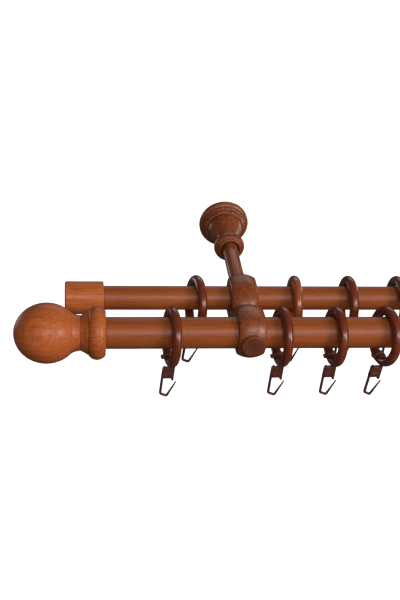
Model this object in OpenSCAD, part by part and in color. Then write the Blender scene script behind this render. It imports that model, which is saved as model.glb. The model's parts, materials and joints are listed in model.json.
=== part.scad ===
// Double wooden curtain rod set: a front and a back rod carried by two wall brackets,
// with turned finials and end caps, sliding wooden rings and plastic clip-on hooks.
// X runs along the rods to the right, Y runs into the wall, Z is up.
// The origin is the left wall screw's axis in the plane of the wall.

/* [Rods] */
// Length of each rod
rod_len = 1200; // [1000:50:2400]
// Diameter of the front rod
front_rod_d = 28; // [26:0.5:30]
// Diameter of the back rod
back_rod_d = 22; // [18:0.5:24]
// Distance from the wall to the back rod's axis
back_rod_out = 142; // [130:1:170]
// Distance between the two rods' axes
rod_spacing = 56; // [55:1:70]
// Distance from a rod's end to its bracket
bracket_inset = 127; // [125:1:200]

/* [Finials and caps] */
// Diameter of the ball at its widest
ball_d = 53; // [46:0.2:60]
// Length of the ball's ellipse along the rod
ball_len = 57.2; // [54:0.2:64]
// Diameter of the bead beside the rod
bead_d = 46.8; // [44:0.2:52]
// Diameter of the finial's neck
neck_d = 30.4; // [26:0.2:32]
// Diameter of an end cap on the back rod
cap_d = 30; // [28:0.5:34]
// Length of an end cap
cap_len = 35; // [25:1:45]

/* [Brackets] */
// Diameter of the rosette against the wall
rosette_d = 50; // [48:0.5:60]
// Depth of the rosette from the wall to its mouth
rosette_depth = 55.5; // [54:0.5:70]
// Diameter of the bead at the rosette's mouth
collar_d = 30.2; // [28:0.2:34]
// Diameter of the arm
arm_d = 15; // [14:0.5:16]
// Diameter of the two balls that hold the rods
boss_d = 42.6; // [40:0.2:46]
// Width of a holder between its flat sides
boss_w = 24.4; // [22:0.2:30]
// Diameter of the button on the front of a holder
button_d = 21.2; // [16:0.2:24]

/* [Rings and hooks] */
// Radius of a ring to the middle of its section
ring_r = 23; // [22.5:0.1:23.4]
// Diameter of a ring's round section
ring_t = 8.6; // [7:0.1:9]
// Places of the four front rings at the left end, from the bracket
front_ring_x = [-69, 29, 77.5, 123]; // [-100:0.5:160]
// Places of the four back rings at the left end, from the bracket
back_ring_x = [-42, 50, 101, 148]; // [-100:0.5:160]
// Turn of each front ring about the vertical
front_ring_turn = [5.6, 3.9, 4.2, 10.2]; // [-12:0.1:12]
// Turn of each back ring about the vertical
back_ring_turn = [7.8, -1.4, 1.3, 1.5]; // [-12:0.1:12]
// Lean of each front ring towards its neighbour on the right
front_ring_lean = [3.5, 2.5, 2.6, 6.5]; // [-7:0.1:7]
// Lean of each back ring towards its neighbour on the right
back_ring_lean = [5, -1, 0.8, 0.8]; // [-7:0.1:7]
// Width of a hook's clip and block along the ring
hook_w = 4; // [3:0.2:5]

/* [Hidden] */
$fn = 64;

rod_z = 0; // both rods and the arm lie at one height
front_y = -(back_rod_out + rod_spacing);
back_y = -back_rod_out;
front_r = front_rod_d / 2;
back_r = back_rod_d / 2;
bracket_span = rod_len - 2 * bracket_inset;
bracket_x = [0, bracket_span];
rod_x0 = -bracket_inset;

// fixings
dowel_screw_r = 3;
dowel_screw_len = 40;
rod_screw_r = 1.75;
rod_screw_head_r = 3.4;
rod_screw_top = -boss_d / 2 + 0.5; // the head sits just inside the holder's underside
rod_screw_len = 14;
rod_screw_head_h = 2.2;
bolt_r = 4;            // wood thread in the wall
bolt_thread_r = 3;     // machine thread in the insert
bolt_out = 32;
bolt_tip = 8;
bolt_tip_r = 0.6;
insert_r = 5;
insert_len = 12;

// fits
rod_clear = 0.15;  // a rod in its holder
hook_clear = 0.35; // a clip round a ring
ring_gap = 0.3;    // a ring's top above its rod

// arm and sockets, as distances from the wall
socket_r = arm_d / 2;
rosette_socket = 30;
mouth_r = 9.2;
mouth_depth = 3.5;
holder_socket = back_rod_out - back_r - 2.5;
holder_back = back_rod_out - 23.5;

// hooks, in the plane of the swing: s towards the next ring, t down from the ring's section
clip_r0 = ring_t / 2 + hook_clear;
clip_t = 2;
clip_mid = clip_r0 + clip_t / 2;
limb_w = 2.4;      // thickness of the open hook's limbs, both ways
limb_tip_w = 1.2;
knob_angle = 164;  // where the clip ends, from the stem over the top
knob_r = 1.5;
knob_out = clip_mid + 0.6;
stem_end = 23.6;
block_top = 10;
horn = [2, 1.2];   // the raised corner at the block's open side: along and up
block_end = 21.2;
block_left = -4.4;
leg_s = -3.6;
leg_end = 39;
apex = [2.6, 41.6];
hook_tip = [9.4, 25.8];

wood = "#a5562c";
dark_wood = "#8a4529";
plastic = "#5c2a1e";
zinc = "#c9c9c4";

RING_NUMBERS = [1:8];

// ---- profiles, as [radius, distance along the axis] ----

// n points of an ellipse's arc, angles from the outward radius towards the far end
function arc(r0, z0, rr, rz, a0, a1, n) =
    [for (i = [0:n]) let (a = a0 + (a1 - a0) * i / n) [r0 + rr * cos(a), z0 + rz * sin(a)]];

// a soft S from one radius to another along the axis
function sweep_in(r0, r1, z0, z1, n) =
    [for (i = [0:n]) let (s = i / n) [r1 + (r0 - r1) * (1 + cos(180 * s)) / 2, z0 + (z1 - z0) * s]];

// a curve that leaves a radius level and climbs to another
function cove(r0, r1, z0, z1, n) =
    [for (i = [1:n]) let (s = i / n) [r0 + (r1 - r0) * s * s, z0 + (z1 - z0) * s]];

bead_z = 7.2;          // the bead's widest place
bead_h = 8;            // how far its round stands out
bead_half = 8.6;       // half the bead's width
bead_start = -asin(bead_z / bead_half); // the round begins level with the rod's end
bead_stop = 58;
finial_groove = 14.9;
groove_r = neck_d / 2 + 3.8;
cone_start = finial_groove + 0.5;
cone_steps = 5;
finial_step = 22.3;
ball_start = 21.9;
ball_z = ball_len / 2 + ball_start;
cove_end = 29.4;
ball_join = asin((cove_end - ball_z) / (ball_len / 2));
finial_outline = concat(
    [[0, 0]],
    arc(bead_d / 2 - bead_h, bead_z, bead_h, bead_half, bead_start, bead_stop, 14),
    [[groove_r - 0.5, finial_groove], [groove_r, cone_start]],
    [for (i = [1:cone_steps]) let (s = i / cone_steps)
        [neck_d / 2 + (groove_r - neck_d / 2) * pow(1 - s, 1.3),
         cone_start + (finial_step - cone_start) * s]],
    [[neck_d / 2 + 0.5, finial_step]],
    cove(neck_d / 2 + 0.5, ball_d / 2 * cos(ball_join), finial_step, cove_end, 7),
    arc(0, ball_z, ball_d / 2, ball_len / 2, ball_join + 3, 90, 26));

rosette_r = rosette_d / 2;
rim_h = 4.2;           // how far the rim's round stands out
edge_r = 1;            // the round edge of each of the two steps
steps = [[rosette_r - 4.4, 7.8], [rosette_r - 6.7, 12]];
bell_r = rosette_r - 7.9;
bell_z = 13.2;         // where the bell leaves the last step
throat_r = 9.5;        // the bell's narrow end
fillet_z = rosette_depth - 15.2; // a small fillet between the bell and the collar
collar_z = rosette_depth - 7;
collar_h = 5.6;        // how far the collar's round stands out
collar_half = 6.8;     // half the collar's width
lip_r = 11.9;          // the flat end of the mouth
rosette_outline = concat(
    [[0, 0], [rosette_r - 0.7, 0], [rosette_r, 0.7]],
    arc(rosette_r - rim_h, 2.8, rim_h, 3.8, 0, 70, 6),
    arc(steps[0][0], steps[0][1], edge_r, edge_r, 0, 80, 3),
    arc(steps[1][0], steps[1][1], edge_r, edge_r, 0, 80, 3),
    sweep_in(bell_r, throat_r, bell_z, fillet_z - 2, 16),
    [[throat_r, fillet_z], [throat_r + 1.1, fillet_z + 0.8], [throat_r + 1.1, fillet_z + 1.6]],
    arc(collar_d / 2 - collar_h, collar_z, collar_h, collar_half, -60, 50, 14),
    [[lip_r, rosette_depth - 1.4], [lip_r - 0.2, rosette_depth - 0.5],
     [lip_r - 0.8, rosette_depth], [0, rosette_depth]]);

cap_inner_edge = 0.9;
cap_outer_edge = 1.4;
cap_outline = concat(
    [[0, 0]],
    arc(cap_d / 2 - cap_inner_edge, cap_inner_edge, cap_inner_edge, cap_inner_edge, -90, 0, 4),
    arc(cap_d / 2 - cap_outer_edge, cap_len - cap_outer_edge, cap_outer_edge, cap_outer_edge, 0, 90, 5),
    [[0, cap_len]]);

// ---- turned parts ----

// a profile turned about the axis that points from the wall into the room
module turned_out(points) {
    rotate([90, 0, 0]) rotate_extrude() polygon(points);
}

// a straight bore or pin along X
module rod_like(x, y, r, len) {
    translate([x, y, rod_z]) rotate([0, 90, 0]) cylinder(r = r, h = len);
}

// side is -1 at the left end and 1 at the right end
function end_x(side) = side < 0 ? rod_x0 : rod_x0 + rod_len;

module end_turned(side, y, points) {
    difference() {
        translate([end_x(side), y, rod_z]) rotate([0, side * 90, 0]) rotate_extrude() polygon(points);
        end_screw(side, y);
    }
}

module end_screw(side, y) {
    rod_like(end_x(side) - dowel_screw_len / 2, y, dowel_screw_r, dowel_screw_len);
}

module rod(y, r) {
    difference() {
        rod_like(rod_x0, y, r, rod_len);
        for (side = [-1, 1]) end_screw(side, y);
        for (x = bracket_x) rod_screw(x, y);
    }
}

module front_rod() { color(wood) rod(front_y, front_r); }

module back_rod() { color(wood) rod(back_y, back_r); }

module finial(side) { color(dark_wood) end_turned(side, front_y, finial_outline); }

module end_cap(side) { color(wood) end_turned(side, back_y, cap_outline); }

module end_screws() {
    color(zinc) for (side = [-1, 1]) for (y = [front_y, back_y]) end_screw(side, y);
}

// ---- brackets ----

module rod_screw(x, y) {
    translate([x, y, rod_screw_top]) {
        cylinder(r = rod_screw_r, h = rod_screw_len);
        rotate_extrude() polygon([[0, 0], [rod_screw_head_r, 0], [rod_screw_r, rod_screw_head_h],
                                  [0, rod_screw_head_h]]);
    }
}

// the countersunk hole for a rod screw, open below
module rod_screw_hole(y) {
    translate([0, y, rod_screw_top]) rotate_extrude()
        polygon([[0, -boss_d / 2], [rod_screw_head_r, -boss_d / 2], [rod_screw_head_r, 0],
                 [rod_screw_r, rod_screw_head_h], [rod_screw_r, rod_screw_len], [0, rod_screw_len]]);
}

module rod_screws() {
    color(zinc) for (x = bracket_x) for (y = [front_y, back_y]) rod_screw(x, y);
}

module rosette(x) {
    color(dark_wood) translate([x, 0, rod_z]) difference() {
        turned_out(rosette_outline);
        rotate([90, 0, 0]) cylinder(r = insert_r, h = insert_len);
        translate([0, -rosette_socket, 0]) rotate([90, 0, 0]) cylinder(r = socket_r, h = rosette_depth);
        translate([0, mouth_depth - rosette_depth, 0]) rotate([90, 0, 0])
            cylinder(r = mouth_r, h = rosette_depth);
    }
}

module arm(x) {
    color(wood) translate([x, -rosette_socket, rod_z]) rotate([90, 0, 0])
        cylinder(r = socket_r, h = holder_socket - rosette_socket);
}

// two balls that swell from one waist, with a button in front and a collar behind
boss_r = boss_d / 2;
waist_r = 9.5;
crest_half = 3.6;      // each ball is cylindrical for a little at its widest, where its screw sits
waist_half = rod_spacing / 2 - crest_half;
// the long half of a ball is towards the waist, the short half away from it
waist_len = waist_half / sqrt(1 - pow(waist_r / boss_r, 2));
waist_angle = asin(waist_half / waist_len);
end_len = boss_r - crest_half;
button_r = button_d / 2;
button_out = -front_y + boss_r + 0.7;
button_dot = 0.8;      // radius of the small centre hole
button_dot_in = 2;
collar_r = socket_r + 1.9;
holder_outline = concat(
    [[0, holder_back], [collar_r - 0.7, holder_back], [collar_r, holder_back + 0.8],
     [collar_r, holder_back + 2.4], [collar_r - 1.1, holder_back + 3.4]],
    arc(0, back_rod_out - crest_half, boss_r, end_len, -acos((collar_r - 1.1) / boss_r) + 3, 0, 14),
    arc(0, back_rod_out + crest_half, boss_r, waist_len, 0, waist_angle, 12),
    arc(0, -front_y - crest_half, boss_r, waist_len, -waist_angle + 5, 0, 12),
    arc(0, -front_y + crest_half, boss_r, end_len, 0, acos(button_r / boss_r), 10),
    [[button_r, button_out - 1], [button_r - 1, button_out],
     [button_dot, button_out], [button_dot, button_out - button_dot_in], [0, button_out - button_dot_in]]);

// sawn flat on both sides and drilled for the rods
module rod_holder(x) {
    color(dark_wood) translate([x, 0, rod_z]) difference() {
        intersection() {
            turned_out(holder_outline);
            translate([-boss_w / 2, front_y - boss_d, -boss_d])
                cube([boss_w, rod_spacing + 2 * boss_d, 2 * boss_d]);
        }
        rod_like(-boss_w, front_y, front_r + rod_clear, 2 * boss_w);
        rod_like(-boss_w, back_y, back_r + rod_clear, 2 * boss_w);
        rotate([90, 0, 0]) cylinder(r = socket_r, h = holder_socket);
        for (y = [front_y, back_y]) rod_screw_hole(y);
    }
}

module wall_screws() {
    color(zinc) for (x = bracket_x) translate([x, 0, rod_z]) rotate([-90, 0, 0]) {
        translate([0, 0, -insert_len]) cylinder(r = bolt_thread_r, h = insert_len);
        cylinder(r = bolt_r, h = bolt_out);
        translate([0, 0, bolt_out]) cylinder(r1 = bolt_r, r2 = bolt_tip_r, h = bolt_tip);
    }
}

module rosette_inserts() {
    color(zinc) for (x = bracket_x) translate([x, 0, rod_z]) rotate([90, 0, 0]) difference() {
        cylinder(r = insert_r, h = insert_len);
        cylinder(r = bolt_thread_r, h = insert_len);
    }
}

// ---- rings and hooks ----

// rings 1 to 4 are gathered at the left end, and 5 to 8 mirror them at the right end
function source(n) = n < 5 ? n - 1 : 8 - n;
function ring_x(xs, n) = n < 5 ? xs[source(n)] : bracket_span - xs[source(n)];
function ring_turn(turns, n) = n < 5 ? turns[source(n)] : 180 - turns[source(n)];
function ring_z(r, lean) = rod_z + r + ring_gap + ring_t / 2 - ring_r * cos(lean);

// puts a ring's own frame in place: its axis along X, its lowest point down
module at_ring(xs, turns, leans, y, r, n) {
    lean = leans[source(n)];
    translate([ring_x(xs, n), y, ring_z(r, lean)])
        rotate([0, 0, ring_turn(turns, n)])
            rotate([0, lean, 0])
                children();
}

module at_front(n) {
    at_ring(front_ring_x, front_ring_turn, front_ring_lean, front_y, front_r, n) children();
}

module at_back(n) {
    at_ring(back_ring_x, back_ring_turn, back_ring_lean, back_y, back_r, n) children();
}

module ring() {
    color(dark_wood) rotate([0, 90, 0]) rotate_extrude() translate([ring_r, 0]) circle(d = ring_t);
}

// the outline of a bent strip along a path, with its own width at each point and mitred corners
function along(path, i) = let (d = path[i + 1] - path[i]) d / norm(d);
function square_to(d) = [-d[1], d[0]];
function mitre(path, i) =
    let (last = len(path) - 1,
         n0 = square_to(along(path, max(i - 1, 0))),
         n1 = square_to(along(path, min(i, last - 1))))
    (n0 + n1) / (1 + n0 * n1);
function strip(path, widths) =
    let (last = len(path) - 1)
    concat([for (i = [0:last]) path[i] + mitre(path, i) * widths[i] / 2],
           [for (i = [last:-1:0]) path[i] - mitre(path, i) * widths[i] / 2]);

module clip_shape() {
    below = 2 * clip_mid;
    difference() {
        circle(r = clip_r0 + clip_t);
        circle(r = clip_r0);
        // open below, from the stem round to the knob
        polygon([[0, 0], [below, 0], [below, -below], [-below, -below],
                 [-below, below * tan(180 - knob_angle)]]);
    }
    translate([cos(knob_angle), sin(knob_angle)] * knob_out) circle(r = knob_r);
    translate([clip_r0, -stem_end]) square([clip_t, stem_end]);
    polygon([[block_left, -block_end], [clip_mid, -block_end], [clip_mid, -block_top],
             [block_left + horn[0] + horn[1], -block_top], [block_left + horn[0], -block_top + horn[1]],
             [block_left, -block_top - horn[1]]]);
}

// the leg, the bottom and the rising point of the open hook
module hook_limbs_shape() {
    path = [[leg_s, -block_end + 1], [leg_s, -leg_end], [apex[0], -apex[1]], [hook_tip[0], -hook_tip[1]]];
    polygon(strip(path, [limb_w, limb_w, limb_w, limb_tip_w]));
}

module hook() {
    color(plastic) translate([0, 0, -ring_r]) rotate([90, 0, 0]) {
        linear_extrude(hook_w, center = true) clip_shape();
        linear_extrude(limb_w, center = true) hook_limbs_shape();
    }
}

front_rod();
back_rod();
finial(-1);  // left_finial
finial(1);  // right_finial
end_cap(-1);  // left_end_cap
end_cap(1);  // right_end_cap
end_screws();
rosette(bracket_x[0]);  // left_rosette
rosette(bracket_x[1]);  // right_rosette
arm(bracket_x[0]);  // left_arm
arm(bracket_x[1]);  // right_arm
rod_holder(bracket_x[0]);  // left_rod_holder
rod_holder(bracket_x[1]);  // right_rod_holder
rod_screws();
wall_screws();
rosette_inserts();
for (n = RING_NUMBERS) {
    at_front(n) ring();
    at_back(n) ring();
    at_front(n) hook();
    at_back(n) hook();
}
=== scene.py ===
import json
import math

import bmesh
import bpy
from mathutils import Euler, Matrix, Vector


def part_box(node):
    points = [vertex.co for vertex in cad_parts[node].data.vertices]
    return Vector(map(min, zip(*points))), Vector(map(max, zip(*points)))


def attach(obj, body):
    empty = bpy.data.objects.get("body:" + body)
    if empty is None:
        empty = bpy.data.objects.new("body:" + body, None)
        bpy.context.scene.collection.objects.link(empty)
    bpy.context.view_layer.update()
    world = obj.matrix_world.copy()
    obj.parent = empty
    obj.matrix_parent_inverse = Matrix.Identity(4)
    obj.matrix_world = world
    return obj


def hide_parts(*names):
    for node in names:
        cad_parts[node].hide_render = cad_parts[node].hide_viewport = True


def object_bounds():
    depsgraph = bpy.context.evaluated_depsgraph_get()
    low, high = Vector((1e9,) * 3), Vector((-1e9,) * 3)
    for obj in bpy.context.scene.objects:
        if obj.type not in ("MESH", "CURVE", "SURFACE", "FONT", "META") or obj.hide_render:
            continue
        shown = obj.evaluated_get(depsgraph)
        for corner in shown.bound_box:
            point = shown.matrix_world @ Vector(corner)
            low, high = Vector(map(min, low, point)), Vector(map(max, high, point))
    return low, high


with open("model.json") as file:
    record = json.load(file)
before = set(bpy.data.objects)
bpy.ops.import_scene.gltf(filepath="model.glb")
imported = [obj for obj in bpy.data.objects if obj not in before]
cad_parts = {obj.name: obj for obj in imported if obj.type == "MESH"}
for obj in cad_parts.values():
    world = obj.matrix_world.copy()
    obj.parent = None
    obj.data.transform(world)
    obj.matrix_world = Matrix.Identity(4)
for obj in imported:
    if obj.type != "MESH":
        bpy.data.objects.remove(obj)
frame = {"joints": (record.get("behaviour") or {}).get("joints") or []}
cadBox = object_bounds()
joints = {joint["name"]: joint for joint in frame["joints"]}
mm = 0.001


# shader maths: a Wire is a socket that can be added, multiplied and compared
class Wire:
    def __init__(self, finish, socket):
        self.finish = finish
        self.socket = socket

    def maths(self, operation, *others):
        sockets = dict(enumerate((self,) + others))
        return self.finish.node("ShaderNodeMath", {"operation": operation}, sockets)

    def __add__(self, other):
        return self.maths("ADD", other)

    __radd__ = __add__

    def __sub__(self, other):
        return self.maths("SUBTRACT", other)

    def __rsub__(self, other):
        return self.maths("MULTIPLY_ADD", -1, other)

    def __mul__(self, other):
        return self.maths("MULTIPLY", other)

    __rmul__ = __mul__

    def __truediv__(self, other):
        return self.maths("DIVIDE", other)

    def __pow__(self, other):
        return self.maths("POWER", other)

    def between(self, low, high):
        # 0 below low, 1 above high, soft in between
        settings = {"interpolation_type": "SMOOTHSTEP"}
        return self.finish.node("ShaderNodeMapRange", settings, {0: self, 1: low, 2: high})


# one material; node() makes any node, settings first and then sockets
class Finish:
    def __init__(self, name):
        self.material = bpy.data.materials.new(name)
        self.material.use_nodes = True
        self.tree = self.material.node_tree
        self.surface = self.tree.nodes["Principled BSDF"]

    def node(self, kind, settings, sockets, output=0):
        made = self.tree.nodes.new(kind)
        for key, value in settings.items():
            if key == "stops":
                self.setStops(made.color_ramp, value)
            else:
                setattr(made, key, value)
        for key, value in sockets.items():
            self.feed(made.inputs[key], value)
        return Wire(self, made.outputs[output])

    def setStops(self, ramp, stops):
        while len(ramp.elements) < len(stops):
            ramp.elements.new(1)
        for element, (position, grey) in zip(ramp.elements, stops):
            element.position = position
            element.color = (grey, grey, grey, 1)

    def feed(self, socket, value):
        if isinstance(value, Wire):
            self.tree.links.new(value.socket, socket)
        else:
            socket.default_value = value

    def set(self, **sockets):
        for key, value in sockets.items():
            self.feed(self.surface.inputs[key.replace("_", " ")], value)

    def mix(self, factor, first, second, blendType="MIX"):
        settings = {"data_type": "RGBA", "blend_type": blendType}
        return self.node("ShaderNodeMix", settings, {0: factor, 6: first, 7: second}, 2)

    def noise(self, where, stretch, detail=2, roughness=0.5, distortion=0):
        scaled = self.node("ShaderNodeVectorMath", {"operation": "MULTIPLY"}, {0: where, 1: stretch})
        sockets = {"Vector": scaled, "Scale": 1, "Detail": detail, "Roughness": roughness,
                   "Distortion": distortion}
        return self.node("ShaderNodeTexNoise", {}, sockets)

    def bump(self, height, depth, strength=1):
        sockets = {"Height": height, "Distance": depth, "Strength": strength}
        return self.node("ShaderNodeBump", {}, sockets)


def paint(red, green, blue):
    return (red, green, blue, 1)


# how each stain looks: colours of early and late wood, of the pores, and the varnish
stains = {
    "rod": dict(early=paint(0.37, 0.092, 0.019), late=paint(0.235, 0.048, 0.010),
                pore=paint(0.10, 0.022, 0.006), spacing=2.2 * mm, contrast=0.3, streaks=0.5,
                figure=0.5, pores=0.4, blotches=0.4, gloss=0.3, roughness=0.44, coat=0.12,
                coatRoughness=0.36, relief=0.02 * mm),
    "finial": dict(early=paint(0.60, 0.150, 0.032), late=paint(0.30, 0.058, 0.013),
                   pore=paint(0.11, 0.024, 0.008), spacing=1.9 * mm, contrast=0.24, streaks=0.5,
                   figure=0.55, pores=0.4, blotches=0.6, gloss=0.25, roughness=0.48, coat=0.12,
                   coatRoughness=0.2, relief=0.02 * mm),
    "bracket": dict(early=paint(0.34, 0.082, 0.020), late=paint(0.125, 0.026, 0.009),
                    pore=paint(0.05, 0.011, 0.005), spacing=2.4 * mm, contrast=0.4, streaks=0.8,
                    figure=0.85, pores=0.65, blotches=0.5, gloss=0.35, roughness=0.40, coat=0.22,
                    coatRoughness=0.26, relief=0.03 * mm),
    "paleRing": dict(early=paint(0.42, 0.095, 0.019), late=paint(0.20, 0.038, 0.010),
                     pore=paint(0.07, 0.014, 0.006), spacing=2.2 * mm, contrast=0.45, streaks=0.55,
                     figure=0.5, pores=0.5, blotches=0.45, gloss=0.4, roughness=0.32, coat=0.45,
                     coatRoughness=0.12, relief=0.02 * mm),
    "ring": dict(early=paint(0.235, 0.042, 0.012), late=paint(0.085, 0.014, 0.006),
                 pore=paint(0.035, 0.007, 0.004), spacing=2.2 * mm, contrast=0.5, streaks=0.8,
                 figure=0.8, pores=0.5, blotches=0.5, gloss=0.35, roughness=0.34, coat=0.35,
                 coatRoughness=0.12, relief=0.02 * mm),
}


def stainedWood(name, stain, pith=(0.03, 0.0), tilt=(0, 0, 0), slice=0.0):
    # solid wood: the fibres run along the piece's own z and tilt turns them;
    # pith says how far off the axis the growth rings centre
    look = stains[stain]
    finish = Finish(name)
    own = finish.node("ShaderNodeTexCoord", {}, {}, "Object")
    turned = Euler([math.radians(angle) for angle in tilt])
    board = finish.node("ShaderNodeMapping", {}, {"Vector": own, "Rotation": turned,
                                                  "Location": (pith[0], pith[1], slice)})
    across = finish.node("ShaderNodeSeparateXYZ", {}, {0: board}, "X")
    along = finish.node("ShaderNodeSeparateXYZ", {}, {0: board}, "Y")
    wobble = finish.noise(board, (34, 34, 7), detail=2) - 0.5
    ripple = finish.noise(board, (160, 160, 16), detail=1) - 0.5
    fromPith = (across * across + along * along) ** 0.5 + wobble * (5 * mm) + ripple * (0.8 * mm)
    season = (fromPith / look["spacing"]).maths("FRACT")
    ramp = [(0, 0.1), (0.45, 0.25), (0.8, 0.75), (0.93, 1), (1, 0.12)]
    growth = finish.node("ShaderNodeValToRGB", {"stops": ramp}, {0: season})
    fibre = finish.noise(board, (900, 900, 26), detail=4, roughness=0.65)
    streak = finish.noise(board, (260, 260, 9), detail=2, roughness=0.6)
    figure = finish.noise(board, (600, 600, 50), detail=2, roughness=0.6)
    vessel = finish.noise(board, (1500, 1500, 190), detail=1).between(0.60, 0.70)
    blotch = finish.noise(board, (22, 22, 9), detail=2) - 0.5
    # hollow depth from the outline: stain pooling plus painted shade in the grooves
    poolAndShade = finish.node("ShaderNodeAttribute", {"attribute_name": "stainPool"}, {}, "Fac")

    lateness = (growth - 0.4) * look["contrast"] + (fibre - 0.5) * look["streaks"] * 1.6
    lateness = lateness + (streak - 0.5) * look["streaks"] + (figure - 0.5) * look["figure"] * 1.6
    lateness = lateness + blotch * look["blotches"] * 1.5 + 0.45
    lateness = lateness.between(-0.1, 1.1)
    colour = finish.mix(lateness, look["early"], look["late"])
    colour = finish.mix(vessel * look["pores"], colour, look["pore"])
    # hollows are darkened towards the pore colour: partly stain pooling, partly painted shade
    colour = finish.mix(poolAndShade * 0.75, colour, look["pore"])
    height = fibre * 0.6 - vessel * 0.8 + growth * 0.3
    finish.set(Base_Color=colour, Roughness=look["roughness"] + (fibre - 0.5) * 0.16 + poolAndShade * 0.2,
               Normal=finish.bump(height, look["relief"]), Coat_Weight=look["coat"],
               Coat_Roughness=look["coatRoughness"], Specular_IOR_Level=look["gloss"], IOR=1.5, Coat_IOR=1.5)
    return finish.material


def mouldedPlastic(name):
    look = dict(colour=paint(0.078, 0.019, 0.013), worn=paint(0.13, 0.036, 0.024), roughness=0.3)
    finish = Finish(name)
    own = finish.node("ShaderNodeTexCoord", {}, {}, "Object")
    flow = finish.noise(own, (130, 130, 60), detail=3, distortion=1.5)
    grit = finish.noise(own, (2600, 2600, 2600), detail=1)
    colour = finish.mix(flow.between(0.35, 0.7) * 0.6, look["colour"], look["worn"])
    finish.set(Base_Color=colour, Roughness=look["roughness"] + (flow - 0.5) * 0.25,
               Normal=finish.bump(grit * 0.5 + flow, 0.03 * mm), IOR=1.5)
    return finish.material


def zincPlate(name):
    look = dict(bright=paint(0.66, 0.65, 0.6), dull=paint(0.45, 0.44, 0.4), roughness=0.34)
    finish = Finish(name)
    own = finish.node("ShaderNodeTexCoord", {}, {}, "Object")
    cloud = finish.noise(own, (260, 260, 260), detail=3)
    scratch = finish.noise(own, (300, 300, 4200), detail=2)
    colour = finish.mix(cloud.between(0.35, 0.65), look["bright"], look["dull"])
    finish.set(Base_Color=colour, Metallic=1.0, Roughness=look["roughness"] + (cloud - 0.5) * 0.3,
               Normal=finish.bump(scratch, 0.01 * mm))
    return finish.material


# outlines of turned pieces: (radius, distance along the axis) in millimetres
def arcPoints(centre, radii, fromDeg, toDeg, steps):
    points = []
    for i in range(steps + 1):
        angle = math.radians(fromDeg + (toDeg - fromDeg) * i / steps)
        points.append((centre[0] + radii[0] * math.cos(angle), centre[1] + radii[1] * math.sin(angle)))
    return points


def sweepPoints(start, end, steps):
    # a soft S from one radius to another
    points = []
    for i in range(steps + 1):
        share = i / steps
        ease = (1 - math.cos(math.pi * share)) / 2
        points.append((start[0] + (end[0] - start[0]) * ease, start[1] + (end[1] - start[1]) * share))
    return points


def softened(points, radius, steps=3):
    # rounds every corner of an outline a little, as sanding does
    corners = [Vector(point) for point in points]
    result = [corners[0]]
    for before, here, after in zip(corners, corners[1:], corners[2:]):
        back = before - here
        forward = after - here
        if min(back.length, forward.length) < 0.01:
            continue
        if math.pi - back.angle(forward) < math.radians(14):
            result.append(here)
            continue
        cut = min(radius, 0.45 * back.length, 0.45 * forward.length)
        start = here + back.normalized() * cut
        end = here + forward.normalized() * cut
        for i in range(steps + 1):
            share = i / steps
            result.append(start * (1 - share) ** 2 + here * (2 * share * (1 - share)) + end * share ** 2)
    result.append(corners[-1])
    return result


def creviceDepths(outline, reach=1.6):
    # how far each point lies in a hollow of the outline, where stain gathers and where shade is painted into
    # the colour
    turns = [0.0]
    for before, here, after in zip(outline, outline[1:], outline[2:]):
        first = here - before
        second = after - here
        turns.append(math.atan2(first.x * second.y - first.y * second.x, first.dot(second)))
    turns.append(0.0)
    depths = []
    for here in outline:
        total = 0.0
        for turn, there in zip(turns, outline):
            total += turn * max(0.0, 1 - (here - there).length / reach)
        depths.append(min(1.0, max(0.0, -total)))
    return depths


def putMesh(name, mesh, place, body, replaced, material):
    piece = bpy.data.objects.new(name, mesh)
    bpy.context.scene.collection.objects.link(piece)
    piece.matrix_world = place
    mesh.materials.append(material)
    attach(piece, body)
    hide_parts(replaced)
    return piece


def smoothMesh(mesh, sharpDeg=38):
    for face in mesh.polygons:
        face.use_smooth = True
    mesh.set_sharp_from_angle(angle=math.radians(sharpDeg))
    return mesh


def revolve(name, outline, around=96, radiusAt=None):
    # turns an outline about z; radiusAt(radius, angle, along) can reshape the section
    outline = [Vector(point) for point in outline]
    made = bmesh.new()
    # per-vertex hollow depth, which the wood material darkens as stain pooling and painted shade
    layer = made.verts.layers.float.new("stainPool")
    rows = []
    for point, depth in zip(outline, creviceDepths(outline)):
        count = 1 if point.x < 1e-6 else around
        row = []
        for i in range(count):
            angle = 2 * math.pi * i / around
            radius = radiusAt(point.x, angle, point.y) if radiusAt else point.x
            across = (radius * mm * math.cos(angle), radius * mm * math.sin(angle))
            vertex = made.verts.new((across[0], across[1], point.y * mm))
            vertex[layer] = depth
            row.append(vertex)
        rows.append(row)
    for low, high in zip(rows, rows[1:]):
        for i in range(around):
            corners = [low[i % len(low)], low[(i + 1) % len(low)],
                       high[(i + 1) % len(high)], high[i % len(high)]]
            unique = list(dict.fromkeys(corners))
            if len(unique) > 2:
                made.faces.new(unique)
    bmesh.ops.remove_doubles(made, verts=made.verts, dist=0.0001 * mm)
    bmesh.ops.recalc_face_normals(made, faces=made.faces)
    mesh = bpy.data.meshes.new(name)
    made.to_mesh(mesh)
    made.free()
    return smoothMesh(mesh)


def axisPlace(point, direction, up=(0, 0, 1)):
    # local z along direction, local x as near to up as it goes
    z = Vector(direction).normalized()
    x = (Vector(up) - z * Vector(up).dot(z)).normalized()
    y = z.cross(x)
    return Matrix.Translation(point) @ Matrix((x, y, z)).transposed().to_4x4()


def middle(node):
    low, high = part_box(node)
    return (low + high) / 2


def applied(mesh, setUp):
    # runs modifiers on a mesh, set up by a function, and gives the finished mesh
    holder = bpy.data.objects.new("bench", mesh)
    bpy.context.scene.collection.objects.link(holder)
    setUp(holder)
    graph = bpy.context.evaluated_depsgraph_get()
    finished = bpy.data.meshes.new_from_object(holder.evaluated_get(graph))
    bpy.data.objects.remove(holder)
    return finished


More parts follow.
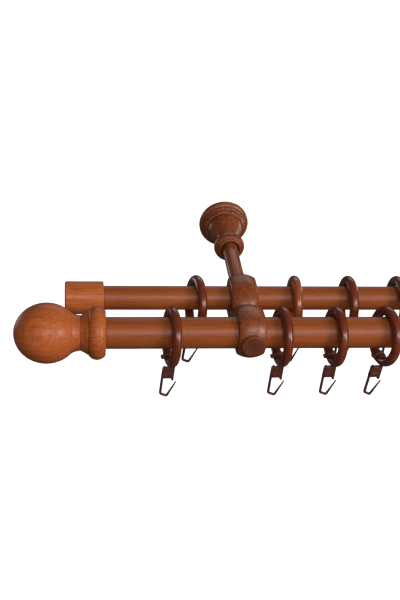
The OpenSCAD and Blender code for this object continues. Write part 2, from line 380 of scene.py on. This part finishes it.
def carved(mesh, tool, operation="DIFFERENCE"):
    cutter = bpy.data.objects.new("cutter", tool)
    bpy.context.scene.collection.objects.link(cutter)

    def setUp(holder):
        cut = holder.modifiers.new("cut", "BOOLEAN")
        cut.operation = operation
        cut.solver = "EXACT"
        cut.object = cutter

    finished = applied(mesh, setUp)
    bpy.data.objects.remove(cutter)
    return finished


# the two rods
screwHole = dict(radius=3.0, depth=20.0)

rodLook = dict(edge=0.5, pith=(0.034, 0.006))


def boredEnd(radius, edge):
    # from the bottom of the screw's hole out to the rim of a rod's end
    return [(0, screwHole["depth"]), (screwHole["radius"], screwHole["depth"] - 1), (screwHole["radius"], 0),
            (radius - edge, 0), (radius, edge)]


def makeRod(node, slice):
    low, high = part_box(node)
    radius = (high.z - low.z) / 2 / mm
    length = (high.x - low.x) / mm
    start = boredEnd(radius, rodLook["edge"])
    finish = [(r, length - z) for r, z in reversed(start)]
    outline = softened(start + finish, 0.2)
    place = axisPlace((low.x, (low.y + high.y) / 2, (low.z + high.z) / 2), (1, 0, 0))
    material = stainedWood(node + "Stain", "rod", pith=rodLook["pith"], tilt=(0.4, 0.3, 40 * slice),
                           slice=slice)
    putMesh(node + "Turned", revolve(node, outline), place, "rod_set", node, material)


makeRod("front_rod", 0.3)
makeRod("back_rod", 1.7)
print("rods turned")


# finials and end caps, turned outwards from the rod's end
finialLook = dict(beadRadius=23.4, beadRound=8.0, beadAt=7.2, beadHalf=8.6, beadStop=58,
                  groove=14.9, grooveRadius=19.0, step=22.3, neck=15.2, coveEnd=29.4, ballAt=50.5)


def finialOutline(length, ballRadius):
    look = finialLook
    ballHalf = length - look["ballAt"]
    join = math.degrees(math.asin((look["coveEnd"] - look["ballAt"]) / ballHalf))
    joinRadius = ballRadius * math.cos(math.radians(join))
    bead = look["beadRound"]
    groove = look["grooveRadius"]
    neck = look["neck"]
    coneStart = look["groove"] + 0.5
    beadStart = -math.degrees(math.asin(look["beadAt"] / look["beadHalf"]))  # level with the rod's end
    outline = [(0, 20), (3, 19), (3, 0)]
    outline += arcPoints((look["beadRadius"] - bead, look["beadAt"]), (bead, look["beadHalf"]),
                         beadStart, look["beadStop"], 30)
    outline += [(groove - 0.5, look["groove"]), (groove, coneStart)]
    for i in range(1, 9):
        share = i / 8
        outline.append((neck + (groove - neck) * (1 - share) ** 1.3,
                        coneStart + (look["step"] - coneStart) * share))
    outline.append((neck + 0.5, look["step"]))
    for i in range(1, 13):
        share = i / 12
        outline.append((neck + 0.5 + (joinRadius - neck - 0.5) * share ** 2,
                        look["step"] + (look["coveEnd"] - look["step"]) * share))
    outline += arcPoints((0, look["ballAt"]), (ballRadius, ballHalf), join + 2, 90, 56)
    return softened(outline, 0.3)


def makeFinial(node, side, slice, pith, tilt):
    low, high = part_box(node)
    end = high.x if side < 0 else low.x
    place = axisPlace((end, (low.y + high.y) / 2, (low.z + high.z) / 2), (side, 0, 0))
    outline = finialOutline((high.x - low.x) / mm, (high.z - low.z) / 2 / mm)
    outline[-1] = Vector((0, outline[-1].y))
    material = stainedWood(node + "Stain", "finial", pith=pith, tilt=tilt, slice=slice)
    putMesh(node + "Turned", revolve(node, outline, 128), place, "rod_set", node, material)


makeFinial("left_finial", -1, 0.11, (0.025, -0.037), (14, 9.4, 0))
makeFinial("right_finial", 1, 0.57, (0.055, 0.01), (3, 2, 70))


def makeCap(node, side, slice):
    look = dict(rim=0.9, crown=1.8, pith=(0.026, 0.008))
    low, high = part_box(node)
    radius = (high.z - low.z) / 2 / mm
    length = (high.x - low.x) / mm
    end = high.x if side < 0 else low.x
    place = axisPlace((end, (low.y + high.y) / 2, (low.z + high.z) / 2), (side, 0, 0))
    outline = [(0, 20), (3, 19), (3, 0)]
    outline += arcPoints((radius - look["rim"], look["rim"]), (look["rim"], look["rim"]), -90, 0, 6)
    crown = look["crown"]
    outline += arcPoints((radius - crown, length - crown), (crown, crown), 0, 84, 8)
    outline += [(radius * 0.6, length - 0.05), (radius * 0.3, length), (0, length)]
    outline = softened(outline, 0.3)
    material = stainedWood(node + "Stain", "finial", pith=look["pith"], tilt=(2, 3, 100 * slice),
                           slice=slice)
    putMesh(node + "Turned", revolve(node, outline), place, "rod_set", node, material)


makeCap("left_end_cap", -1, 0.42)
makeCap("right_end_cap", 1, 0.83)
print("finials and caps turned")


# wall brackets: rosette, arm and holder share one axis out of the wall
rosetteLook = dict(socket=7.5, socketFrom=30, mouth=9.2, mouthDeep=3.5, rimRound=4.2, throat=9.5, bell=13.2,
                   fillet=15.2, collarAt=7.0, collarRadius=15.1, collarRound=5.6, collarHalf=6.8,
                   lip=11.9, bellIn=7.9, steps=((6.7, 12), (4.4, 7.8)), insert=5.0, insertDeep=12)


def rosetteOutline(radius, depth):
    # from the arm's socket out over the mouth, the collar, the bell and the two steps to the wall
    look = rosetteLook
    mouthFloor = depth - look["mouthDeep"]
    fillet = depth - look["fillet"]
    throat = look["throat"]
    outline = [(0, look["socketFrom"]), (look["socket"], look["socketFrom"]), (look["socket"], mouthFloor),
               (look["mouth"], mouthFloor), (look["mouth"], depth - 0.7), (look["mouth"] + 0.7, depth),
               (look["lip"] - 0.8, depth), (look["lip"] - 0.2, depth - 0.5), (look["lip"], depth - 1.4)]
    outline += arcPoints((look["collarRadius"] - look["collarRound"], depth - look["collarAt"]),
                         (look["collarRound"], look["collarHalf"]), 50, -60, 22)
    outline += [(throat + 1.1, fillet + 1.6), (throat + 1.1, fillet + 0.8), (throat, fillet)]
    outline += sweepPoints((throat, fillet - 2), (radius - look["bellIn"], look["bell"]), 24)
    for stepIn, stepAt in look["steps"]:
        outline += arcPoints((radius - stepIn, stepAt), (1, 1), 80, 0, 5)
    outline += arcPoints((radius - look["rimRound"], 2.8), (look["rimRound"], 3.8), 70, 0, 12)
    outline += [(radius, 0.7), (radius - 0.7, 0), (look["insert"], 0), (look["insert"], look["insertDeep"]),
                (0, look["insertDeep"])]
    outline = softened(outline, 0.25)
    outline.reverse()
    return outline


def makeRosette(node, slice):
    low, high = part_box(node)
    radius = (high.x - low.x) / 2 / mm
    depth = (high.y - low.y) / mm
    place = axisPlace(((low.x + high.x) / 2, high.y, (low.z + high.z) / 2), (0, -1, 0))
    material = stainedWood(node + "Stain", "bracket", pith=(0.03, 0.012), tilt=(3, -4, 90 * slice),
                           slice=slice)
    mesh = revolve(node, rosetteOutline(radius, depth), 128)
    putMesh(node + "Turned", mesh, place, "rod_set", node, material)


def makeArm(node, slice):
    low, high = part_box(node)
    radius = (high.x - low.x) / 2 / mm
    length = (high.y - low.y) / mm
    place = axisPlace(((low.x + high.x) / 2, high.y, (low.z + high.z) / 2), (0, -1, 0))
    edge = 0.8
    outline = softened([(0, 0), (radius - edge, 0), (radius, edge), (radius, length - edge),
                        (radius - edge, length), (0, length)], 0.2)
    material = stainedWood(node + "Stain", "bracket", pith=(0.022, 0.01), tilt=(1, 2, 80 * slice),
                           slice=slice)
    putMesh(node + "Turned", revolve(node, outline, 72), place, "rod_set", node, material)


holderLook = dict(waist=9.5, crestHalf=3.6, button=10.6, dot=0.8, dotIn=2.0, collar=9.4, collarRoot=8.3,
                  socket=7.5, flatEase=44, boreEase=0.4, rodClear=0.15,
                  seat=((0, -30), (3.6, -30), (3.6, 0), (1.75, 2), (0, 2)))


def holderOutline(front, frontAxis, backAxis, back, boss):
    # from the button's face, over both balls, to the collar round the arm
    look = holderLook
    button = look["button"]
    crest = look["crestHalf"]
    waistHalf = (frontAxis - backAxis) / 2 - crest
    waistLong = waistHalf / math.sqrt(1 - (look["waist"] / boss) ** 2)
    atWaist = math.degrees(math.asin(waistHalf / waistLong))
    atButton = math.degrees(math.acos(button / boss))
    collar = look["collar"]
    atCollar = math.degrees(math.acos(look["collarRoot"] / boss))
    short = boss - crest
    outline = [(0, front - look["dotIn"]), (look["dot"] - 0.1, front - look["dotIn"]), (look["dot"], front),
               (button - 1, front), (button, front - 1)]
    outline += arcPoints((0, frontAxis + crest), (boss, short), atButton, 0, 24)
    outline += arcPoints((0, frontAxis - crest), (boss, waistLong), 0, -atWaist, 28)
    outline += arcPoints((0, backAxis + crest), (boss, waistLong), atWaist - 2, 0, 28)
    outline += arcPoints((0, backAxis - crest), (boss, short), 0, -atCollar, 24)
    outline += [(look["collarRoot"], back + 3.4), (collar, back + 2.4), (collar, back + 0.8),
                (collar - 0.7, back)]
    outline += [(look["socket"], back), (look["socket"], back + 10), (0, back + 10)]
    return softened(outline, 0.4)


def barrel(name, radius, length, ease):
    # a cutter for a bore that opens a little at both faces
    half = length / 2
    outline = [(0, -half - 5), (radius + ease + 5, -half - 5), (radius, -half + ease), (radius, half - ease),
               (radius + ease + 5, half + 5), (0, half + 5)]
    return revolve(name, outline, 96)


def makeHolder(node, slice):
    look = holderLook
    low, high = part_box(node)
    front = middle("front_rod")
    back = middle("back_rod")
    centreX = (low.x + high.x) / 2
    half = (high.x - low.x) / 2 / mm
    boss = (high.z - front.z) / mm
    outline = holderOutline(-low.y / mm, -front.y / mm, -back.y / mm, -high.y / mm, boss)

    def sawn(radius, angle, along):
        # flat on both sides, with the saw's edges sanded round; local y lies along the rods
        flat = half / max(abs(math.sin(angle)), 1e-6)
        ease = look["flatEase"]
        return radius * (1 + (radius / flat) ** ease) ** (-1 / ease)

    mesh = revolve(node, outline, 144, sawn)
    place = axisPlace((centreX, 0, front.z), (0, -1, 0))
    for rod in ("front_rod", "back_rod"):
        rodLow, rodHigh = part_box(rod)
        boreRadius = (rodHigh.z - rodLow.z) / 2 / mm + look["rodClear"]
        cutter = barrel("bore", boreRadius, 2 * half, look["boreEase"])
        cutter.transform(place.inverted() @ axisPlace((centreX, middle(rod).y, front.z), (1, 0, 0)))
        mesh = carved(mesh, cutter)
        seat = revolve("seat", look["seat"], 32)
        screwHead = (centreX, middle(rod).y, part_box("rod_screws")[0].z)
        seat.transform(place.inverted() @ axisPlace(screwHead, (0, 0, 1)))
        mesh = carved(mesh, seat)
    material = stainedWood(node + "Stain", "bracket", pith=(0.02, 0.014), tilt=(-30, -6, 120 * slice),
                           slice=slice)
    mesh.materials.clear()
    putMesh(node + "Turned", smoothMesh(mesh, 32), place, "rod_set", node, material)


for side, slice in (("left", 0.2), ("right", 0.9)):
    makeRosette(side + "_rosette", slice)
    makeArm(side + "_arm", slice + 0.3)
    makeHolder(side + "_rod_holder", slice + 0.5)
print("brackets turned")


# screws and inserts
def threadedRadius(core, crest, pitch, start, end):
    # a V thread on a shank, fading in and out at both ends
    def radiusAt(radius, angle, along):
        if not start < along < end or abs(radius - crest) > 0.01:
            return radius
        turn = (along / pitch - angle / (2 * math.pi)) % 1
        fade = min(1, (along - start) / pitch, (end - along) / pitch)
        return crest - (crest - core) * fade * min(1, 2.2 * abs(turn - 0.5))
    return radiusAt


def shank(radius, fromZ, toZ, step=0.35):
    count = max(1, round((toZ - fromZ) / step))
    return [(radius, fromZ + (toZ - fromZ) * i / count) for i in range(count + 1)]


def both(*radiusRules):
    def radiusAt(radius, angle, along):
        for rule in radiusRules:
            reshaped = rule(radius, angle, along)
            if reshaped != radius:
                return reshaped
        return radius
    return radiusAt


zinc = zincPlate("zincPlated")


endScrewLook = dict(half=20, waist=3, threadEnd=17, core=2.1, crest=3, pitch=2.4)


def makeEndScrew(name, x, y, z):
    look = endScrewLook
    half = look["half"]
    waist = look["waist"]
    reach = look["threadEnd"]
    crest = look["crest"]
    outline = [(0, -half), (0.6, -half + 0.4)] + shank(crest, -reach, -waist)
    outline += [(crest - 0.1, -waist + 0.5), (crest - 0.1, waist - 0.5)] + shank(crest, waist, reach)
    outline += [(0.6, half - 0.4), (0, half)]
    rule = both(threadedRadius(look["core"], crest, look["pitch"], -reach, -waist),
                threadedRadius(look["core"], crest, look["pitch"], waist, reach))
    mesh = revolve(name, outline, 32, rule)
    putMesh(name, mesh, axisPlace((x, y, z), (1, 0, 0)), "rod_set", "end_screws", zinc)


crossLook = dict(reach=2.2, halfWide=0.45, deep=1.5)


def crossRecess(radius, angle, along):
    # the driver's cross in a screw's head: two arms, as a radius for each angle
    look = crossLook
    if abs(radius - look["reach"]) > 0.01:
        return radius
    slopes = (abs(math.sin(angle)), abs(math.cos(angle)))
    arms = [look["halfWide"] / max(slope, 1e-6) for slope in slopes]
    return max(min(look["reach"], arm) for arm in arms) - 0.02


def makeRodScrew(name, x, y, z):
    look = crossLook
    outline = [(0, look["deep"]), (look["reach"], look["deep"]), (look["reach"], 0), (3.3, 0), (3.4, 0.15)]
    outline += [(1.75, 2.2)] + shank(1.75, 2.4, 12) + [(0.3, 13.8), (0, 14)]
    rule = both(crossRecess, threadedRadius(1.25, 1.75, 1.5, 2.4, 12))
    mesh = revolve(name, outline, 64, rule)
    putMesh(name, mesh, axisPlace((x, y, z), (0, 0, 1)), "rod_set", "rod_screws", zinc)


def makeWallScrew(name, x, y, z):
    # machine thread in the insert, then wood thread in the wall
    outline = [(0, -12), (2.6, -12)] + shank(3, -11.6, -0.4, 0.2) + [(3, 0), (4, 0.2), (4, 1)]
    outline += shank(4, 2, 32) + [(0.6, 40), (0, 40)]
    rule = both(threadedRadius(2.5, 3, 1, -11.6, -0.4), threadedRadius(2.9, 4, 3, 2, 32))
    mesh = revolve(name, outline, 40, rule)
    putMesh(name, mesh, axisPlace((x, y, z), (0, 1, 0)), "rod_set", "wall_screws", zinc)


def makeInsert(name, x, y, z):
    outline = [(3, 0.3), (3.4, 0), (4.7, 0)] + shank(5, 0.5, 11.5) + [(4.7, 12), (3, 12), (3, 0.3)]
    mesh = revolve(name, outline, 40, threadedRadius(4.4, 5, 3, 0.5, 11.5))
    putMesh(name, mesh, axisPlace((x, y, z), (0, -1, 0)), "rod_set", "rosette_inserts", zinc)


frontMiddle = middle("front_rod")
backMiddle = middle("back_rod")
screwLow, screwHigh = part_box("end_screws")
rodLow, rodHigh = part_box("front_rod")
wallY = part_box("left_rosette")[1].y
for side, endX in (("left", rodLow.x), ("right", rodHigh.x)):
    for rod, centre in (("Front", frontMiddle), ("Back", backMiddle)):
        makeEndScrew(side + rod + "EndScrew", endX, centre.y, centre.z)
        bracketX = middle(side + "_rosette").x
        makeRodScrew(side + rod + "RodScrew", bracketX, centre.y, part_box("rod_screws")[0].z)
    makeWallScrew(side + "WallScrew", bracketX, wallY, frontMiddle.z)
    makeInsert(side + "Insert", bracketX, wallY, frontMiddle.z)
print("fixings made")


# rings and hooks: both share the ring's own frame, worked out from its hook's joint
ringLook = dict(around=128, section=40)
ringMaterials = []
paleRing = stainedWood("paleRingStain", "paleRing", pith=(0.04, 0.01), tilt=(50, 3, 0), slice=0.35)
for i, (turn, slice) in enumerate(((20, 0.1), (75, 0.5), (130, 0.8), (165, 1.3))):
    ringMaterials.append(stainedWood("ringStain" + str(i + 1), "ring", pith=(0.04, 0.01),
                                     tilt=(turn, 3, 8 * i), slice=slice))


def ringMesh(ringRadius, sectionRadius):
    made = bmesh.new()
    layer = made.verts.layers.float.new("stainPool")
    rows = []
    for i in range(ringLook["around"]):
        angle = 2 * math.pi * i / ringLook["around"]
        outward = Vector((0, math.cos(angle), math.sin(angle)))
        row = []
        for j in range(ringLook["section"]):
            turn = 2 * math.pi * j / ringLook["section"]
            point = outward * (ringRadius + sectionRadius * math.cos(turn))
            vertex = made.verts.new(point + Vector((sectionRadius * math.sin(turn), 0, 0)))
            vertex[layer] = 0
            row.append(vertex)
        rows.append(row)
    for i in range(len(rows)):
        near = rows[i]
        far = rows[(i + 1) % len(rows)]
        for j in range(len(near)):
            k = (j + 1) % len(near)
            made.faces.new((near[j], near[k], far[k], far[j]))
    bmesh.ops.recalc_face_normals(made, faces=made.faces)
    mesh = bpy.data.meshes.new("ring")
    made.to_mesh(mesh)
    made.free()
    return smoothMesh(mesh)


# the hook in the plane of its swing: s towards the next ring, t up, from the middle of the ring's section
hookLook = dict(width=4.0, clipInner=4.65, clipThick=2.0, knobAngle=164, knob=1.5, stemEnd=-23.6,
                blockTop=-10, blockEnd=-21.2, blockLeft=-4.4, horn=(2, 1.2), limb=2.4, limbTip=1.2,
                path=[(-3.6, -20.2), (-3.6, -39), (2.6, -41.6), (9.4, -25.8)],
                ridgeAt=-16.8, ridgeHigh=0.9, ridgeProud=0.35, edge=0.4)


def clipOutline():
    look = hookLook
    inner = look["clipInner"]
    outer = inner + look["clipThick"]
    knobAngle = look["knobAngle"]
    away = math.radians(knobAngle)
    knobAt = inner + look["clipThick"] / 2 + 0.6
    knobCentre = (knobAt * math.cos(away), knobAt * math.sin(away))
    left = look["blockLeft"]
    outline = [(outer, look["stemEnd"])]
    outline += arcPoints((0, 0), (outer, outer), 0, knobAngle - 10, 26)
    outline += arcPoints(knobCentre, (look["knob"], look["knob"]), knobAngle - 50, knobAngle + 190, 14)
    outline += arcPoints((0, 0), (inner, inner), knobAngle - 8, 0, 24)
    along, up = look["horn"]
    top = look["blockTop"]
    outline += [(inner, top), (left + along + up, top), (left + along, top + up), (left, top - up),
                (left, look["blockEnd"]), (inner, look["blockEnd"]), (inner, look["stemEnd"])]
    return outline


def extruded(outline, width):
    made = bmesh.new()
    face = made.faces.new([made.verts.new((s * mm, -width / 2 * mm, t * mm)) for s, t in outline])
    raised = bmesh.ops.extrude_face_region(made, geom=[face])["geom"]
    moved = [v for v in raised if isinstance(v, bmesh.types.BMVert)]
    bmesh.ops.translate(made, vec=(0, width * mm, 0), verts=moved)
    bmesh.ops.recalc_face_normals(made, faces=made.faces)
    mesh = bpy.data.meshes.new("strip")
    made.to_mesh(mesh)
    made.free()
    return mesh


def eased(mesh, width, segments=3):
    def setUp(holder):
        bevel = holder.modifiers.new("edge", "BEVEL")
        bevel.width = width * mm
        bevel.segments = segments
        bevel.limit_method = "ANGLE"
        bevel.angle_limit = math.radians(40)
        bevel.harden_normals = False
    return applied(mesh, setUp)


def limbMesh():
    # a bent strip with rounded corners, thinning to its point
    look = hookLook
    path = softened(look["path"], 1.3, 5)
    count = len(path)
    reach = [0.0]
    for before, here in zip(path, path[1:]):
        reach.append(reach[-1] + (here - before).length)
    made = bmesh.new()
    rows = []
    for i, point in enumerate(path):
        ahead = (path[min(i + 1, count - 1)] - path[max(i - 1, 0)]).normalized()
        across = Vector((-ahead.y, ahead.x))
        share = max(0.0, (reach[i] / reach[-1] - 0.55) / 0.45)
        half = (look["limb"] + (look["limbTip"] - look["limb"]) * share) / 2
        row = []
        for j in range(20):
            turn = 2 * math.pi * j / 20
            side = abs(math.cos(turn)) ** 0.6 * math.copysign(1, math.cos(turn)) * half
            deep = abs(math.sin(turn)) ** 0.6 * math.copysign(1, math.sin(turn)) * half
            spot = point + across * side
            row.append(made.verts.new((spot.x * mm, deep * mm, spot.y * mm)))
        rows.append(row)
    tip = path[-1] + (path[-1] - path[-2]).normalized() * 0.3
    for near, far in zip(rows, rows[1:]):
        for j in range(20):
            k = (j + 1) % 20
            made.faces.new((near[j], near[k], far[k], far[j]))
    made.faces.new(rows[0])
    point = made.verts.new((tip.x * mm, 0, tip.y * mm))
    for j in range(20):
        made.faces.new((rows[-1][j], rows[-1][(j + 1) % 20], point))
    bmesh.ops.recalc_face_normals(made, faces=made.faces)
    mesh = bpy.data.meshes.new("limbs")
    made.to_mesh(mesh)
    made.free()
    return mesh


def hookMesh():
    look = hookLook
    body = eased(extruded(clipOutline(), look["width"]), look["edge"])
    ridge = look["ridgeHigh"] / 2
    left = look["blockLeft"] + 0.8
    right = look["clipInner"] - 0.4
    bar = [(left, look["ridgeAt"] - ridge), (right, look["ridgeAt"] - ridge),
           (right, look["ridgeAt"] + ridge), (left, look["ridgeAt"] + ridge)]
    bar = eased(extruded(bar, look["width"] + 2 * look["ridgeProud"]), 0.3)
    joined = carved(carved(body, bar, "UNION"), limbMesh(), "UNION")
    joined.materials.clear()
    return smoothMesh(joined, 40)


paleRings = ("back_ring_2", "back_ring_7")  # these took the stain lightly
hookMaster = hookMesh()
hookPlastic = mouldedPlastic("hookPlastic")
for rod in ("front", "back"):
    for n in range(1, 9):
        ring = rod + "_ring_" + str(n)
        hook = rod + "_hook_" + str(n)
        swing = joints[hook + "_swing"]
        bottom = Vector(swing["pos_m"])
        centre = middle(ring)
        y = Vector(swing["axis"]).normalized()
        z = (centre - bottom).normalized()
        x = y.cross(z)
        turn = Matrix((x, y, z)).transposed().to_4x4()
        ringRadius = (centre - bottom).length
        sectionRadius = (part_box(ring)[1].z - centre.z) - ringRadius * z.z
        mesh = ringMesh(ringRadius, sectionRadius)
        material = ringMaterials[(n * 3 + len(rod)) % 4]
        if ring in paleRings:
            material = paleRing
        putMesh(ring + "Turned", mesh, Matrix.Translation(centre) @ turn, ring, ring, material)
        place = Matrix.Translation(bottom) @ turn
        putMesh(hook + "Moulded", hookMaster.copy(), place, hook, hook, hookPlastic)
print("rings and hooks made")


# floor, light and camera
def makeFloor():
    look = dict(drop=0.7, size=14.0, colour=paint(0.93, 0.925, 0.915))
    made = bmesh.new()
    bmesh.ops.create_grid(made, x_segments=1, y_segments=1, size=look["size"] / 2)
    mesh = bpy.data.meshes.new("floor")
    made.to_mesh(mesh)
    made.free()
    floor = bpy.data.objects.new("paleFloor", mesh)
    bpy.context.scene.collection.objects.link(floor)
    floor.location = (0.5, 0, cadBox[0].z - look["drop"])
    finish = Finish("paleFloor")
    mottle = finish.noise(finish.node("ShaderNodeTexCoord", {}, {}, "Object"), (3, 3, 3))
    colour = finish.mix(mottle, look["colour"], paint(0.95, 0.945, 0.94))
    finish.set(Base_Color=colour, Roughness=0.9, Emission_Color=paint(1, 1, 1), Emission_Strength=1.0)
    mesh.materials.append(finish.material)
    floor.visible_diffuse = False  # the floor is bright, but throws no light up at the rods
    floor.visible_glossy = False


def makeLight(name, place, aim, size, power):
    data = bpy.data.lights.new(name, "AREA")
    data.shape = "RECTANGLE"
    data.size = size[0]
    data.size_y = size[1]
    data.energy = power
    light = bpy.data.objects.new(name, data)
    bpy.context.scene.collection.objects.link(light)
    light.location = place
    light.rotation_euler = (Vector(aim) - Vector(place)).to_track_quat("-Z", "Y").to_euler()
    light.visible_camera = False


def makeWorld(fill, seen):
    # soft fill from all sides, in front of a white backdrop
    world = bpy.data.worlds.new("studio")
    world.use_nodes = True
    tree = world.node_tree
    background = tree.nodes["Background"]
    background.inputs["Color"].default_value = paint(1, 1, 1)
    rays = tree.nodes.new("ShaderNodeLightPath")
    strength = tree.nodes.new("ShaderNodeMapRange")
    strength.inputs["To Min"].default_value = fill
    strength.inputs["To Max"].default_value = seen
    tree.links.new(rays.outputs["Is Camera Ray"], strength.inputs["Value"])
    tree.links.new(strength.outputs["Result"], background.inputs["Strength"])
    bpy.context.scene.world = world


def makeCamera():
    look = dict(place=(-0.1657, -1.0068, 0.5619), yaw=8.37, pitch=32.84, roll=4.635, lens=67.95)
    data = bpy.data.cameras.new("camera")
    data.lens = look["lens"]
    data.sensor_width = 36
    camera = bpy.data.objects.new("camera", data)
    bpy.context.scene.collection.objects.link(camera)
    turn = Matrix.Rotation(math.radians(-look["yaw"]), 4, "Z")
    nod = Matrix.Rotation(math.radians(90 - look["pitch"]), 4, "X")
    lean = Matrix.Rotation(math.radians(look["roll"]), 4, "Z")
    camera.matrix_world = Matrix.Translation(look["place"]) @ turn @ nod @ lean
    bpy.context.scene.camera = camera


makeFloor()
makeWorld(0.07, 1.0)
makeLight("keyBox", (2.6, -2.3, 1.5), (0.3, -0.15, 0), (1.4, 1.4), 88)
makeLight("frontBox", (0.1, -2.6, 1.9), (0.2, -0.15, 0), (2.2, 0.8), 44)
makeLight("leftRim", (-2.0, 2.2, -0.6), (0, -0.15, 0), (0.9, 0.9), 9)
makeLight("rightRim", (2.4, 2.0, -0.6), (0, -0.15, 0), (0.9, 0.9), 7)
makeLight("backBox", (0.5, 2.8, 1.3), (0.5, -0.15, 0), (2.4, 1.0), 11)
makeCamera()
bpy.context.scene.view_settings.view_transform = "Standard"
print("stage set")
